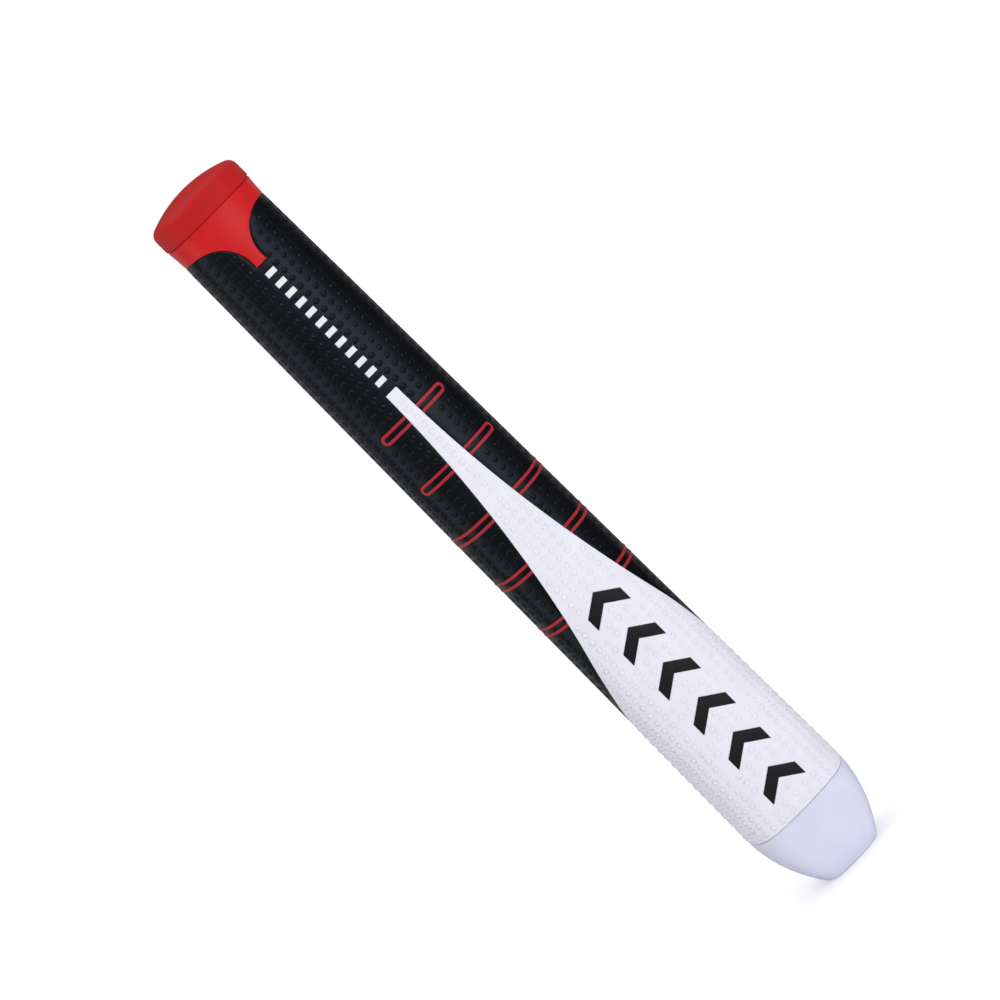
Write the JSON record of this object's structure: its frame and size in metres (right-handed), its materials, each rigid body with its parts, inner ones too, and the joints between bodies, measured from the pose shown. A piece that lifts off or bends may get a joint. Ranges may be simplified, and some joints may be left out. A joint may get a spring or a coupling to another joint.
{
  "type": "putter grip",
  "caption": "Oversized reverse-taper putter grip: foam core, textured black and white skin, red collar and domed butt cap, smooth nose, blind shaft bore.",
  "frame": {"origin": "centre of the shaft bore on the flat end of the mouth", "axes": "+Z along the shaft bore from the mouth to the butt cap, -Y out of the flattened front of the grip, +X to the right seen from the front"},
  "size_m": [0.036, 0.0342, 0.2678],
  "materials": {
    "core_foam": "matte closed-cell foam",
    "black_skin": "satin textured polyurethane",
    "white_skin": "satin textured polyurethane",
    "red_collar": "satin smooth",
    "red_cap": "satin smooth",
    "white_nose": "satin smooth",
    "white_marks": "satin",
    "black_marks": "matte",
    "red_lines": "satin"
  },
  "bodies": {
    "root": {"foam_core": "core_foam", "black_skin": "black_skin", "white_panel": "white_skin", "red_collar": "red_collar", "butt_cap": "red_cap", "mouth_ring": "white_nose", "white_index_marks": "white_marks", "black_index_marks": "black_marks", "alignment_loop_1": "red_lines", "alignment_loop_2": "red_lines", "alignment_loop_3": "red_lines", "alignment_loop_4": "red_lines", "alignment_loop_5": "red_lines"}
  },
  "joints": []
}
